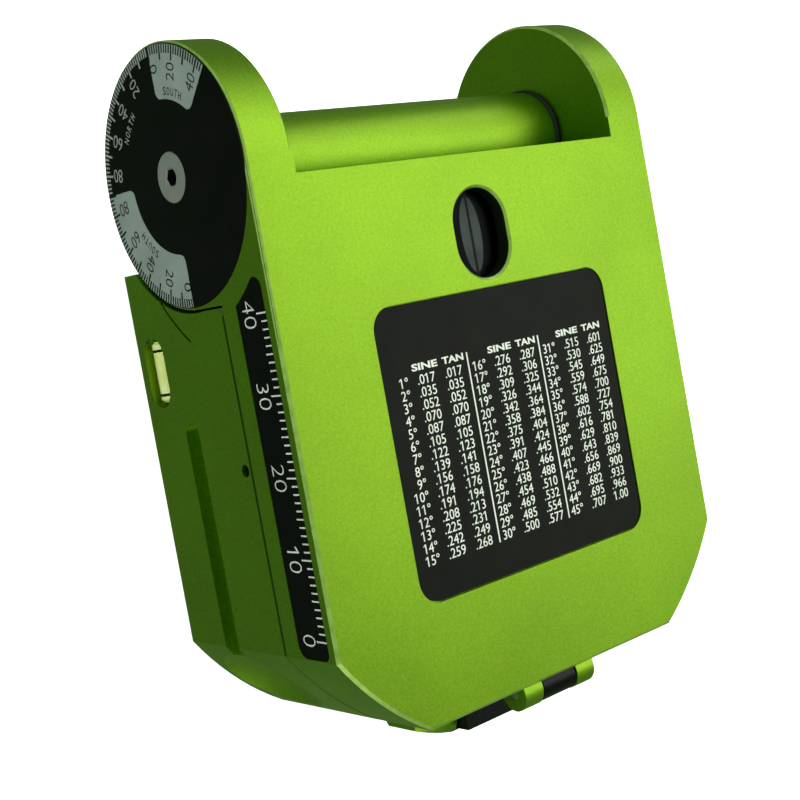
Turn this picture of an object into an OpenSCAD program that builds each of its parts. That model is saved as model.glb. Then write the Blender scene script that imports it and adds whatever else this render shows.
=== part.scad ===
// Pocket transit, closed: a compass in a hinged case with folding sights.
// Millimetres. X runs across the case, Y toward the lid's hinge, Z up.
// The compass axis stands on the origin and the case's underside is Z 0.

/* [Case] */
// Width of the case across its ears
body_w = 70.2; // [69.6:0.1:74]
// Thickness of the closed case
thick = 33.8; // [33.6:0.1:36]
// Height of the lid above the seam
lid_h = 10.7; // [10.4:0.1:11.6]
// Distance from the compass axis to the lid's hinge axis
hinge_y = 38.2; // [38:0.1:41]
// Distance from the compass axis to the front face
front_y = 35.1; // [34.8:0.1:36]
// Radius that rounds the two front corners, about the compass axis
corner_r = 41.9; // [41:0.1:44]
// Width of the bevel along the outer edges
bevel = 0.4; // [0.2:0.1:0.6]

/* [Hinge] */
// Radius of the barrel between the ears
barrel_r = 6.95; // [6.2:0.05:7.4]
// Thickness of each ear
ear_t = 6.9; // [6.3:0.1:7.2]
// Radius of the hinge axle
axle_r = 2.5; // [2:0.1:3]
// Radius of the inclinometer dial
dial_r = 16.55; // [15:0.05:16.6]

/* [Lid] */
// Thickness of the lid's top plate
plate_t = 2.2; // [2:0.1:2.6]
// Length of the sighting window
window_len = 12; // [9:0.5:13]
// Width of the sighting window
window_w = 9.2; // [6:0.2:11]
// Length of the table plate
table_len = 37.7; // [30:0.1:38]
// Width of the table plate
table_w = 42; // [30:1:48]

/* [Compass] */
// Outer radius of the crystal's ring
crystal_ring_r = 28.95; // [28.6:0.05:29.4]
// Length of the needle from its pivot to one tip
needle_len = 21; // [16:0.5:21]
// Thickness of the compass floor
floor_t = 2.7; // [2.3:0.1:3.2]

/* [Sights] */
// Reach of the long sight from its hinge to its tip
arm_reach = 41; // [37:0.5:42]
// Width of the slot along the long sight
arm_slot_w = 3; // [2:0.5:4]

/* [Side vial] */
// Length of the pocket for the tube vial
pocket_len = 9.45; // [8.5:0.05:12]
// Radius of the tube vial
vial_r = 1.9; // [1.5:0.1:2.1]

/* [Hidden] */
$fn = 96;

// Colours that tell the pieces apart
green = [0.5, 0.72, 0.2];
black = [0.1, 0.1, 0.11];
steel = [0.7, 0.71, 0.72];
brass_tone = [0.8, 0.65, 0.3];
clear = [0.75, 0.85, 0.8, 0.4];

// Fits: a sliding or turning pair, a fixed pair, and open room between bodies
run = 0.05;
seat = 0.03;
room = 0.3;
// A cut reaches this far past the face it opens
past = 1;

half_w = body_w / 2;
base_h = thick - lid_h - room;
lid_z = thick - lid_h;
hinge_z = thick / 2;
ear_r = thick / 2;
ear_x = half_w - ear_t;

// Case pockets, from the floor up
bowl_pocket_r = 25.6;
ring_pocket_r = 28.2;
crystal_pocket_r = crystal_ring_r + 0.05;
crystal_seat_z = base_h - 3.8;
ring_floor_z = base_h - 7.3;
case_back = hinge_y - 10.4;
ear_gap_r = ear_r + 0.4;
ear_side_back = hinge_y - 10.8;

// Barrel and the web that carries it
washer_room = 0.75;
web_half = ear_x - washer_room;
web_down = 5.4;
web_top_back = hinge_y - 4.6;
bush_r = 4;
bush_len = 8;
washer_r = 7.3;
// Screws at the hinge's ends, sunk into the dial and into the right ear
head_r = 3.25;
head_sink = 0.5;

// Long sight's hinge on the case's front
arm_y = -front_y - 3.5;
arm_z = base_h - 2;
arm_lug_r = 2.8;
arm_lug_in = 10.8;
arm_lug_out = 18;
arm_lug_drum_r = corner_r + 0.4;
arm_pin_r = 1;
arm_pin_half = 13.9;
arm_half = 10.5;
arm_bottom = base_h + 0.4;
arm_t = 2;
arm_tip_half = 6.5;

// Lid's inside
wall = 2.9;
roof_z = thick - plate_t;
inner_half = half_w - wall;
inner_front = -front_y + wall;
inner_step = hinge_y - ear_r - 0.8;
inner_back = hinge_y - 6.4;
plate_back = hinge_y - 2.9;
back_wall_z = hinge_z + 9.3;
inner_corner_r = corner_r - wall;
window_y = hinge_y - 13.5;
recess_deep = 0.6;
table_y = -1.3;
table_corner = 3.2;

// Side scale's outline, in Y and Z
scale_low = thick - 7.7;
scale_high = thick - 1.55;
scale_front = -22.75;
scale_end_r = 19.6;
scale_tip_r = 1.4;
scale_deep = 0.5;

// Lid's small sight
peep_y = -front_y - 1.1;
peep_z = thick - 2.7;
peep_lug_r = 2.3;
peep_half = 3;
peep_pin_r = 0.8;

// Mirror
mirror_t = 1.5;
mirror_half = 27.3;
mirror_z = roof_z - mirror_t - 0.05;
bezel_t = 1.4;
bezel_gap = 0.2;
screw_spots = [[29.7, 14], [29.7, -17]];

// Azimuth ring and pinion
gear_module = 0.6;
ring_teeth = 90;
pinion_teeth = 10;
ring_pitch_r = gear_module * ring_teeth / 2;
pinion_pitch_r = gear_module * pinion_teeth / 2;
gear_reach = ring_pitch_r + pinion_pitch_r + 0.05;
ring_in_r = 21.5;
ring_t = 2;
ring_z = ring_floor_z + room;
pinion_at = [gear_reach * cos(45), -gear_reach * sin(45)];
bush_bore = 3.85;

needle_z = ring_z + 0.8;
needle_t = 0.5;
lock_at = [-23.3, -23.3];
lock_r = 1.3;

vial_y = 14;
vial_z = 4.35;
vial_x = -half_w + 0.2 + vial_r;
pocket_w = vial_r * 2 + 1.1;
pocket_deep = vial_r * 2 + 0.4;

// Turns a shape drawn in Y and Z so that it is pushed along X
module along_x(x0, x1) {
    translate([x0, 0, 0])
        rotate([90, 0, 90])
            linear_extrude(height = x1 - x0)
                children();
}

module rounded_rect(w, h, r) {
    square([w - 2 * r, h], center = true);
    square([w, h - 2 * r], center = true);
    for (x = [-1, 1], y = [-1, 1])
        translate([x * (w / 2 - r), y * (h / 2 - r)])
            circle(r);
}

// Slot outline with round ends, long in its first direction
module stadium(len, w) {
    square([len - w, w], center = true);
    for (x = [-1, 1])
        translate([x * (len - w) / 2, 0])
            circle(w / 2);
}

// Disc on the hinge's axis with bevelled rims
module axis_disc(x0, x1, r, b) {
    translate([x0, hinge_y, hinge_z])
        rotate([0, 90, 0])
            rotate_extrude()
                polygon([[0, 0], [r - b, 0], [r, b], [r, x1 - x0 - b],
                    [r - b, x1 - x0], [0, x1 - x0]]);
}

module axis_rod(x0, x1, r) {
    translate([x0, hinge_y, hinge_z])
        rotate([0, 90, 0])
            cylinder(h = x1 - x0, r = r);
}

module rod_x(x0, x1, y, z, r) {
    translate([x0, y, z])
        rotate([0, 90, 0])
            cylinder(h = x1 - x0, r = r);
}

// Drum that rounds the front corners, bevelled at the top or the underside
module corner_drum(z0, z1, top_bevel, low_bevel) {
    rotate_extrude()
        polygon([[0, z0], [corner_r - low_bevel, z0], [corner_r, z0 + low_bevel],
            [corner_r, z1 - top_bevel], [corner_r - top_bevel, z1], [0, z1]]);
    translate([-half_w - past, 0, z0])
        cube([body_w + 2 * past, hinge_y + ear_r + past, z1 - z0]);
}

// Outline of the lid's inside, pulled in all round by a gap
module lid_inside(gap) {
    intersection() {
        union() {
            translate([-inner_half + gap, inner_front + gap])
                square([2 * (inner_half - gap), inner_step - inner_front - 2 * gap]);
            translate([-ear_x + gap, inner_front + gap])
                square([2 * (ear_x - gap), inner_back - inner_front - 2 * gap]);
        }
        union() {
            circle(inner_corner_r - gap);
            translate([-half_w, 0])
                square([body_w, hinge_y]);
        }
    }
}

module scale_outline(gap) {
    low = scale_low + gap;
    high = scale_high - gap;
    end_r = scale_end_r + gap;
    tip_r = scale_tip_r - gap;
    tip_dz = high - tip_r - hinge_z;
    // The tip's circle dips a little way into the arc that ends the scale
    dip = 0.06;
    reach = end_r + tip_r - dip;
    tip_dy = sqrt(pow(reach, 2) - tip_dz * tip_dz);
    share = (end_r - dip / 2) / reach;
    tip_y = hinge_y - tip_dy;
    touch_y = hinge_y - tip_dy * share;
    touch_z = hinge_z + tip_dz * share;
    front = scale_front + gap;
    low_r = 1.7 - gap;
    high_r = 1 - gap;
    difference() {
        union() {
            polygon([[front + low_r, low], [touch_y, low], [touch_y, touch_z],
                [tip_y, high], [front + high_r, high], [front, high - high_r],
                [front, low + low_r]]);
            translate([front + low_r, low + low_r])
                circle(low_r);
            translate([front + high_r, high - high_r])
                circle(high_r);
            translate([tip_y, high - tip_r])
                circle(tip_r);
        }
        translate([hinge_y, hinge_z])
            circle(end_r);
    }
}

// Root of the case

module case_block() {
    intersection() {
        rotate([90, 0, 0])
            translate([0, 0, -case_back])
                linear_extrude(height = case_back + front_y)
                    polygon([[-half_w + bevel, 0], [half_w - bevel, 0],
                        [half_w, bevel], [half_w, base_h - 0.2], [half_w - 0.2, base_h],
                        [-half_w + 0.2, base_h], [-half_w, base_h - 0.2],
                        [-half_w, bevel]]);
        along_x(-half_w, half_w)
            polygon([[-front_y + bevel, 0], [case_back, 0], [case_back, base_h],
                [-front_y + 0.2, base_h], [-front_y, base_h - 0.2],
                [-front_y, bevel]]);
        corner_drum(0, base_h, 0.2, bevel);
    }
}

// Hinge lug whose front follows the round of the case
module case_lug(x0, x1) {
    intersection() {
        along_x(x0, x1) {
            translate([arm_y, arm_z])
                circle(arm_lug_r);
            polygon([[arm_y, arm_z - arm_lug_r], [-front_y + 0.5, arm_z - 5.2],
                [-front_y + 0.5, base_h], [arm_y + 1.5, base_h],
                [arm_y, arm_z + arm_lug_r]]);
        }
        cylinder(h = base_h + 2 * past, r = arm_lug_drum_r);
    }
}

module case_web() {
    along_x(-web_half, web_half) {
        translate([hinge_y, hinge_z])
            circle(barrel_r);
        translate([case_back - 0.5, hinge_z - web_down])
            square([hinge_y - case_back + 0.5, 2 * web_down]);
        translate([case_back - 0.5, hinge_z])
            square([web_top_back - case_back + 0.5, base_h - hinge_z]);
    }
}

module side_cuts(side) {
    ear_cut = half_w - ear_x + room;
    groove_z = 10.5;
    groove_w = 3.2;
    groove_end = 6.9;
    groove_deep = 1.6;
    x_wall = side * half_w;
    // Room for the ear
    along_x(min(side * (ear_x - room), side * (half_w + past)),
        max(side * (ear_x - room), side * (half_w + past))) {
        translate([hinge_y, hinge_z])
            circle(ear_gap_r);
        translate([hinge_y - ear_r - room, hinge_z])
            square([ear_r + room + past, base_h]);
        translate([ear_side_back, -past])
            square([ear_cut + 20, hinge_z + past]);
    }
    // Long groove that runs out at the front corner
    along_x(x_wall - groove_deep, x_wall + groove_deep) {
        translate([groove_end - groove_w / 2, groove_z])
            circle(groove_w / 2);
        translate([-corner_r, groove_z - groove_w / 2])
            square([corner_r + groove_end - groove_w / 2, groove_w]);
    }
    // Finger scoop on the front corner
    scoop_r = 16;
    scoop_at = corner_r + 13.8;
    translate([side * scoop_at * cos(45), -scoop_at * sin(45), 9.6])
        sphere(scoop_r);
}

module arc_step() {
    // Shallow curved step engraved into the left wall
    along_x(-half_w - past, -half_w + 0.15)
        intersection() {
            difference() {
                translate([hinge_y + 1.8, thick - 2.8])
                    circle(28.25);
                translate([hinge_y + 1.8, thick - 2.8])
                    circle(27.95);
            }
            translate([hinge_y - 20.8, 8.4])
                square([5.6, 7.4]);
        }
}

module base_case() {
    set_screw_z = base_h - 1.3;
    color(green)
        difference() {
            union() {
                case_block();
                case_web();
                case_lug(arm_lug_in, arm_lug_out);
                case_lug(-arm_lug_out, -arm_lug_in);
            }
            side_cuts(1);
            side_cuts(-1);
            arc_step();
            translate([0, 0, floor_t])
                cylinder(h = base_h, r = bowl_pocket_r);
            translate([0, 0, ring_floor_z])
                cylinder(h = base_h, r = ring_pocket_r);
            translate([0, 0, crystal_seat_z])
                cylinder(h = base_h, r = crystal_pocket_r);
            axis_rod(-half_w, half_w, bush_r + seat);
            rod_x(-arm_pin_half - 0.1, half_w, arm_y, arm_z, arm_pin_r + seat);
            translate([pinion_at.x, pinion_at.y, -past])
                cylinder(h = crystal_seat_z - 0.6 + past, r = bush_bore + seat);
            translate([lock_at.x, lock_at.y, base_h - 7.8])
                cylinder(h = 20, r = lock_r + run);
            rod_x(-half_w - past, -crystal_ring_r + 2, 0.6, set_screw_z, 0.8);
            // Pocket for the tube vial
            translate([0, vial_y, vial_z])
                along_x(-half_w - past, -half_w + pocket_deep)
                    stadium(pocket_len, pocket_w);
        }
}

module hinge_bushes() {
    color(brass_tone)
        for (x = [-web_half, web_half - bush_len])
            difference() {
                axis_rod(x, x + bush_len, bush_r);
                axis_rod(x - past, x + bush_len + past, axle_r + run);
            }
}

module friction_washers() {
    color(black)
        for (x = [-ear_x + 0.1, web_half + seat])
            difference() {
                axis_disc(x, x + washer_room - 0.1 - seat, washer_r, 0.12);
                axis_rod(x - past, x + 2 * past, axle_r + run);
            }
}

module compass_bowl() {
    bowl_r = bowl_pocket_r - 0.2;
    top = ring_floor_z - 0.1;
    color(black)
        difference() {
            translate([0, 0, floor_t])
                cylinder(h = top - floor_t, r = bowl_r);
            translate([0, 0, floor_t + 1])
                cylinder(h = base_h, r = bowl_r - 1);
        }
}

module pivot_post() {
    foot_z = floor_t + 1;
    color(steel)
        rotate_extrude()
            polygon([[0, foot_z], [3, foot_z], [3, foot_z + 0.8], [1, foot_z + 1.6],
                [0.7, needle_z - 2.2], [0.06, needle_z + 0.85], [0, needle_z + 0.85]]);
}

module crystal_gasket() {
    color(black)
        translate([0, 0, crystal_seat_z])
            difference() {
                cylinder(h = 0.4, r = crystal_ring_r - 0.05);
                translate([0, 0, -past])
                    cylinder(h = 3, r = ring_pocket_r - 0.2);
            }
}

module crystal() {
    color(clear)
        translate([0, 0, crystal_seat_z + 0.4])
            cylinder(h = 1.5, r = crystal_ring_r - 0.15);
}

module crystal_ring() {
    low = crystal_seat_z + 1.9;
    high = base_h - 0.2;
    color(steel)
        rotate_extrude()
            polygon([[26, low], [crystal_ring_r, low], [crystal_ring_r, high],
                [26.9, high], [26, low + 0.6]]);
}

module ring_set_screw() {
    set_screw_z = base_h - 1.3;
    color(steel)
        difference() {
            rod_x(-half_w + 0.7, -crystal_ring_r - 0.05, 0.6, set_screw_z, 0.77);
            rod_x(-half_w - past, -half_w + 1.9, 0.6, set_screw_z, 0.35);
        }
}

module level_cup() {
    low = floor_t + 1;
    color(brass_tone)
        translate([0, -13, low])
            difference() {
                cylinder(h = 6.6, r = 6.6);
                translate([0, 0, 1])
                    cylinder(h = 10, r = 5.8);
            }
}

module level_glass() {
    low = floor_t + 2;
    color(clear)
        translate([0, -13, low])
            rotate_extrude()
                polygon([[0, 0], [5.75, 0], [5.75, 5.2], [5.2, 5.5], [0, 5.5]]);
}

module side_vial() {
    end = 0.4;
    // The vial's corners stay this far inside the pocket's round ends
    corner_gap = 0.112;
    round_end = sqrt(pow(pocket_w / 2, 2) - pow(vial_r - end, 2));
    len = pocket_len - pocket_w + 2 * (round_end - corner_gap);
    color([0.75, 0.85, 0.3, 0.6])
        translate([vial_x, vial_y, vial_z])
            rotate([90, 0, 0])
                translate([0, 0, -len / 2])
                    rotate_extrude()
                        polygon([[0, 0], [vial_r - end, 0], [vial_r, end],
                            [vial_r, len - end], [vial_r - end, len], [0, len]]);
}

module arm_hinge_pin() {
    color(steel)
        rod_x(-arm_pin_half, arm_pin_half, arm_y, arm_z, arm_pin_r);
}

module pinion_bush() {
    color(brass_tone)
        translate([pinion_at.x, pinion_at.y, 0.3])
            difference() {
                cylinder(h = ring_floor_z - 0.3, r = bush_bore);
                translate([0, 0, -past])
                    cylinder(h = base_h, r = 2 + run);
            }
}

// Moving parts of the compass

// Points around a toothed wheel: each tooth is listed from its root up and down again
function wheel(teeth, flank, turn) = [
    for (i = [0 : teeth - 1], k = [0 : 2 * len(flank) - 1])
        let (up = k < len(flank),
            p = up ? flank[k] : flank[2 * len(flank) - 1 - k],
            a = turn + i * 360 / teeth + (up ? -p[1] : p[1]))
        [p[0] * cos(a), p[0] * sin(a)]
];

// Half tooth as radius and angle from the tooth's middle
ring_flank = [[ring_pitch_r - 0.6, 1.33], [ring_pitch_r, 0.84], [ring_pitch_r + 0.42, 0.5]];
pinion_flank = [[pinion_pitch_r - 0.65, 7], [pinion_pitch_r - 0.18, 8],
    [pinion_pitch_r, 7.5], [pinion_pitch_r + 0.22, 5.7], [pinion_pitch_r + 0.42, 3.5]];

module azimuth_ring() {
    color([0.85, 0.85, 0.82])
        translate([0, 0, ring_z])
            difference() {
                linear_extrude(height = ring_t)
                    polygon(wheel(ring_teeth, ring_flank, -43));
                translate([0, 0, -past])
                    cylinder(h = ring_t + 2 * past, r = ring_in_r);
            }
}

module azimuth_pinion() {
    color(brass_tone)
        translate([pinion_at.x, pinion_at.y, 0])
            difference() {
                union() {
                    translate([0, 0, ring_z])
                        linear_extrude(height = ring_t)
                            polygon(wheel(pinion_teeth, pinion_flank, 135));
                    translate([0, 0, 0.5])
                        cylinder(h = ring_z - 0.5 + 0.1, r = 2);
                }
                translate([-3, -0.35, 0])
                    cube([6, 0.7, 1.3]);
            }
}

module needle() {
    tip = 0.3;
    belly = 1.7;
    color(steel)
        translate([0, 0, needle_z])
            difference() {
                linear_extrude(height = needle_t)
                    polygon([[-tip, -needle_len], [tip, -needle_len], [belly, -2],
                        [belly, 2], [tip, needle_len], [-tip, needle_len],
                        [-belly, 2], [-belly, -2]]);
                translate([0, 0, -past])
                    cylinder(h = 3, r = 1.3);
            }
}

module needle_hub() {
    top = needle_z + 1.6;
    color(brass_tone)
        difference() {
            union() {
                translate([0, 0, needle_z + needle_t + 0.02])
                    cylinder(h = 0.9, r1 = 2.3, r2 = 1.6);
                translate([0, 0, needle_z - 1])
                    cylinder(h = top - needle_z + 0.6, r = 1.27);
            }
            translate([0, 0, needle_z - 2])
                cylinder(h = 2.9, r1 = 1.3, r2 = 0.2);
        }
}

module lock_button() {
    color(steel)
        translate([lock_at.x, lock_at.y, base_h - 7])
            rotate_extrude()
                polygon([[0, 0], [lock_r, 0], [lock_r, 8.6], [lock_r - 0.5, 9.1], [0, 9.1]]);
}

// Long folding sight

peep_open_half = 4.3;
leaf_half = 4;
leaf_pin_y = arm_y + arm_reach - 2;
leaf_z = arm_bottom + arm_t / 2;
leaf_len = 9.4;

module sight_arm() {
    back = arm_y - 1.9;
    narrow_y = leaf_pin_y - 11.5;
    color(black)
        difference() {
            union() {
                rod_x(-arm_half, arm_half, arm_y, arm_z, 2.7);
                translate([-arm_half, back, arm_bottom - 0.4])
                    cube([2 * arm_half, 4.8, 0.5]);
                translate([0, 0, arm_bottom])
                    linear_extrude(height = arm_t)
                        polygon([[-arm_half, back], [arm_half, back], [arm_half, arm_y + 6],
                            [arm_tip_half, narrow_y], [arm_tip_half, leaf_pin_y],
                            [-arm_tip_half, leaf_pin_y], [-arm_tip_half, narrow_y],
                            [-arm_half, arm_y + 6]]);
                rod_x(-arm_tip_half, arm_tip_half, leaf_pin_y, leaf_z, arm_t / 2);
            }
            rod_x(-half_w, half_w, arm_y, arm_z, arm_pin_r + run);
            rod_x(-half_w, half_w, leaf_pin_y, leaf_z, 0.5 + seat);
            // Opening the folded peep lies in
            translate([-peep_open_half, leaf_pin_y - leaf_len - 0.6, arm_bottom - past])
                cube([2 * peep_open_half, leaf_len + 5, arm_t + 2 * past]);
            // Long sighting slot
            translate([0, (arm_y + 8 + leaf_pin_y - 12.5) / 2, arm_bottom - past])
                linear_extrude(height = arm_t + 2 * past)
                    rotate(90)
                        stadium(leaf_pin_y - 12.5 - arm_y - 8, arm_slot_w);
        }
}

module arm_peep_pin() {
    color(steel)
        rod_x(-arm_tip_half + 0.1, arm_tip_half - 0.1, leaf_pin_y, leaf_z, 0.5);
}

module arm_peep() {
    color(black)
        difference() {
            union() {
                rod_x(-leaf_half, leaf_half, leaf_pin_y, leaf_z, 0.95);
                translate([-leaf_half, leaf_pin_y - leaf_len, leaf_z - 0.5])
                    cube([2 * leaf_half, leaf_len, 1]);
            }
            rod_x(-half_w, half_w, leaf_pin_y, leaf_z, 0.5 + run);
            translate([0, leaf_pin_y - leaf_len + 2.6, leaf_z - past])
                cylinder(h = 2 * past, r = 0.6);
            translate([-0.4, leaf_pin_y - leaf_len + 4.2, leaf_z - past])
                cube([0.8, 3.4, 2 * past]);
        }
}

// Lid

module lid_block() {
    fill_y = hinge_y - ear_r;
    intersection() {
        rotate([90, 0, 0])
            translate([0, 0, -hinge_y])
                linear_extrude(height = hinge_y + front_y)
                    polygon([[-half_w, hinge_z], [half_w, hinge_z],
                        [half_w, thick - bevel], [half_w - bevel, thick],
                        [-half_w + bevel, thick], [-half_w, thick - bevel]]);
        along_x(-half_w, half_w)
            polygon([[-front_y + 0.2, lid_z], [fill_y, lid_z], [fill_y, hinge_z],
                [hinge_y, hinge_z], [hinge_y, thick], [-front_y + bevel, thick],
                [-front_y, thick - bevel], [-front_y, lid_z + 0.2]]);
        corner_drum(hinge_z, thick, bevel, 0);
    }
    for (x = [-half_w, ear_x])
        axis_disc(x, x + ear_t, ear_r, bevel);
}

module lid_window() {
    lip = 0.35;
    translate([0, window_y, 0]) {
        translate([0, 0, roof_z - past])
            linear_extrude(height = plate_t + 2 * past)
                rotate(90)
                    stadium(window_len, window_w);
        // Bevel around the window's rim
        for (y = [-1, 1])
            translate([0, y * (window_len - window_w) / 2, thick - lip])
                cylinder(h = 2 * lip, r1 = window_w / 2, r2 = window_w / 2 + 2 * lip);
        rotate([90, 0, 0])
            translate([0, 0, -(window_len - window_w) / 2])
                linear_extrude(height = window_len - window_w)
                    polygon([[-window_w / 2, thick - lip], [window_w / 2, thick - lip],
                        [window_w / 2 + 2 * lip, thick + lip],
                        [-window_w / 2 - 2 * lip, thick + lip]]);
    }
}

module lid_shell() {
    color(green)
        difference() {
            union() {
                lid_block();
                for (s = [-1, 1])
                    along_x(s * 4.95 - 1.65, s * 4.95 + 1.65) {
                        translate([peep_y, peep_z])
                            circle(peep_lug_r);
                        translate([peep_y, peep_z - peep_lug_r])
                            square([3, 2 * peep_lug_r - 0.3]);
                    }
            }
            // Inside of the lid
            linear_extrude(height = roof_z)
                lid_inside(0);
            // Room between the ears for the barrel and the case's back
            translate([-ear_x, inner_back - past, hinge_z - past])
                cube([2 * ear_x, hinge_y, back_wall_z - hinge_z + past]);
            translate([-ear_x, plate_back, 0])
                cube([2 * ear_x, ear_r * 2, thick + past]);
            // Notch the long sight's root passes through
            translate([-arm_half - 0.7, -front_y - 5, lid_z - past])
                cube([2 * arm_half + 1.4, 5 + wall + past, past + 3.1]);
            rod_x(-peep_half - room, peep_half + room, peep_y, peep_z, 2.55);
            rod_x(-half_w, half_w, peep_y, peep_z, peep_pin_r + seat);
            lid_window();
            translate([0, table_y, thick - recess_deep])
                linear_extrude(height = recess_deep + past)
                    rounded_rect(table_w, table_len, table_corner);
            along_x(-half_w - past, -half_w + scale_deep)
                scale_outline(0);
            axis_rod(-half_w - past, -half_w + 0.8, dial_r + 0.07);
            axis_rod(-half_w - past, half_w + past, 1.5);
            axis_rod(half_w - head_sink, half_w + past, head_r + run);
            axis_rod(-half_w + 2.4, half_w - 2.4, axle_r + seat);
            for (p = screw_spots, s = [-1, 1])
                translate([s * p.x, p.y, roof_z - past])
                    cylinder(h = past + 1.2, r = 0.75);
        }
}

module hinge_axle() {
    end = half_w - 2.5;
    color(steel)
        difference() {
            axis_rod(-end, end, axle_r);
            for (x = [-end - past, end - 8])
                axis_rod(x, x + 8 + past, 1.45);
        }
}

module hinge_screws() {
    low = -head_sink + 0.02;
    top = 0.03;
    color(steel)
        for (s = [-1, 1]) {
            translate([s * half_w, hinge_y, hinge_z])
                rotate([0, s * 90, 0])
                    difference() {
                        rotate_extrude()
                            polygon([[0, -9], [1.4, -9], [1.4, low], [head_r, low],
                                [head_r, top - 0.1], [head_r - 0.1, top], [0, top]]);
                        translate([0, 0, -1.8])
                            cylinder(h = 3, r = 1.2, $fn = 6);
                        translate([0, 0, top - 0.15])
                            cylinder(h = 0.4, r1 = 1.15, r2 = 1.55);
                    }
        }
}

module inclinometer_dial() {
    color(black)
        difference() {
            axis_rod(-half_w, -half_w + 0.78, dial_r);
            axis_rod(-half_w - past, -half_w + 2, 1.5);
            axis_rod(-half_w - past, -half_w + head_sink, head_r + run);
        }
}

module side_scale() {
    color(black)
        along_x(-half_w + 0.12, -half_w + scale_deep - 0.02)
            scale_outline(0.08);
}

module table_plate() {
    color([0.2, 0.2, 0.2])
        translate([0, table_y, thick - recess_deep + 0.02])
            linear_extrude(height = 0.4)
                rounded_rect(table_w - 0.3, table_len - 0.3, table_corner - 0.15);
}

module mirror_outline(gap) {
    intersection() {
        translate([-mirror_half + gap, inner_front + 2.4 + gap])
            square([2 * (mirror_half - gap), inner_back - inner_front - 2.9 - 2 * gap]);
        union() {
            circle(inner_corner_r - 1.2 - gap);
            translate([-half_w, 0])
                square([body_w, hinge_y]);
        }
    }
}

module lid_mirror() {
    color([0.8, 0.85, 0.88])
        translate([0, 0, mirror_z])
            linear_extrude(height = mirror_t)
                mirror_outline(0.15);
}

module mirror_bezel() {
    low = mirror_z - bezel_t;
    boss_low = base_h + 2.5;
    color(black)
        difference() {
            union() {
                translate([0, 0, low])
                    linear_extrude(height = bezel_t + mirror_t - 0.05)
                        lid_inside(bezel_gap);
                translate([lock_at.x, lock_at.y, boss_low])
                    cylinder(h = low - boss_low + 0.2, r = 1.6);
            }
            translate([0, 0, mirror_z])
                linear_extrude(height = 5)
                    mirror_outline(0);
            translate([0, (inner_back + inner_front) / 2, low - past])
                linear_extrude(height = 10)
                    rounded_rect(46, inner_back - inner_front - 9, 4);
            for (p = screw_spots, s = [-1, 1])
                translate([s * p.x, p.y, low - past])
                    cylinder(h = 10, r = 0.85);
        }
}

module mirror_screws() {
    low = mirror_z - bezel_t;
    color(steel)
        for (p = screw_spots, s = [-1, 1])
            translate([s * p.x, p.y, 0])
                difference() {
                    union() {
                        translate([0, 0, low - 0.82])
                            cylinder(h = 0.8, r = 1.5);
                        translate([0, 0, low - 0.5])
                            cylinder(h = roof_z + 1 - low, r = 0.72);
                    }
                    translate([-2, -0.25, low - 1.2])
                        cube([4, 0.5, 0.75]);
                }
}

module lid_peep_pin() {
    color(steel)
        rod_x(-6.5, 6.5, peep_y, peep_z, peep_pin_r);
}

module lid_peep() {
    leaf_low = peep_z - 5.2;
    color(black)
        difference() {
            union() {
                rod_x(-peep_half, peep_half, peep_y, peep_z, 2.2);
                translate([-peep_half, peep_y - 0.9, leaf_low])
                    cube([2 * peep_half, 1.6, 5.2]);
            }
            rod_x(-half_w, half_w, peep_y, peep_z, peep_pin_r + run);
            translate([0, peep_y + past, leaf_low + 1.6])
                rotate([90, 0, 0])
                    cylinder(h = 4, r = 0.7);
        }
}

base_case();
hinge_bushes();
friction_washers();
compass_bowl();
pivot_post();
crystal_gasket();
crystal();
crystal_ring();
ring_set_screw();
level_cup();
level_glass();
side_vial();
arm_hinge_pin();
pinion_bush();
azimuth_ring();
azimuth_pinion();
needle();
needle_hub();
lock_button();
sight_arm();
arm_peep_pin();
arm_peep();
lid_shell();
hinge_axle();
hinge_screws();
inclinometer_dial();
side_scale();
table_plate();
lid_mirror();
mirror_bezel();
mirror_screws();
lid_peep_pin();
lid_peep();
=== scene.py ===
"""Looks of the pocket transit: finishes, printed marks, stage, lights and camera.

The marks are laid out in millimetres; the stage, the lights and the camera in metres.
"""

import functools
import math

import bpy
import numpy as np
from mathutils import Matrix, Vector


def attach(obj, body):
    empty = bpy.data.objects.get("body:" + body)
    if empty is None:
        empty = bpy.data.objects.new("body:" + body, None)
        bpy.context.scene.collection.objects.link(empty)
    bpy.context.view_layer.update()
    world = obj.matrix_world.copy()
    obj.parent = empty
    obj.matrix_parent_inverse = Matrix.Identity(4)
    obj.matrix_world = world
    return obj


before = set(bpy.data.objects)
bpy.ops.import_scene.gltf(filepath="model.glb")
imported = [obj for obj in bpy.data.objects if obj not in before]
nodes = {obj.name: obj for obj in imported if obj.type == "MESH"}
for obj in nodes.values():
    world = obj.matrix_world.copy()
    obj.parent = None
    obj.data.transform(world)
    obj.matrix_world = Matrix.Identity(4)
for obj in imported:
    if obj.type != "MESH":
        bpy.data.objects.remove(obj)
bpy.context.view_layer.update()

MM = 0.001
X, Y, Z = (1, 0, 0), (0, 1, 0), (0, 0, 1)
UPRIGHT = math.pi / 2

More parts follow.
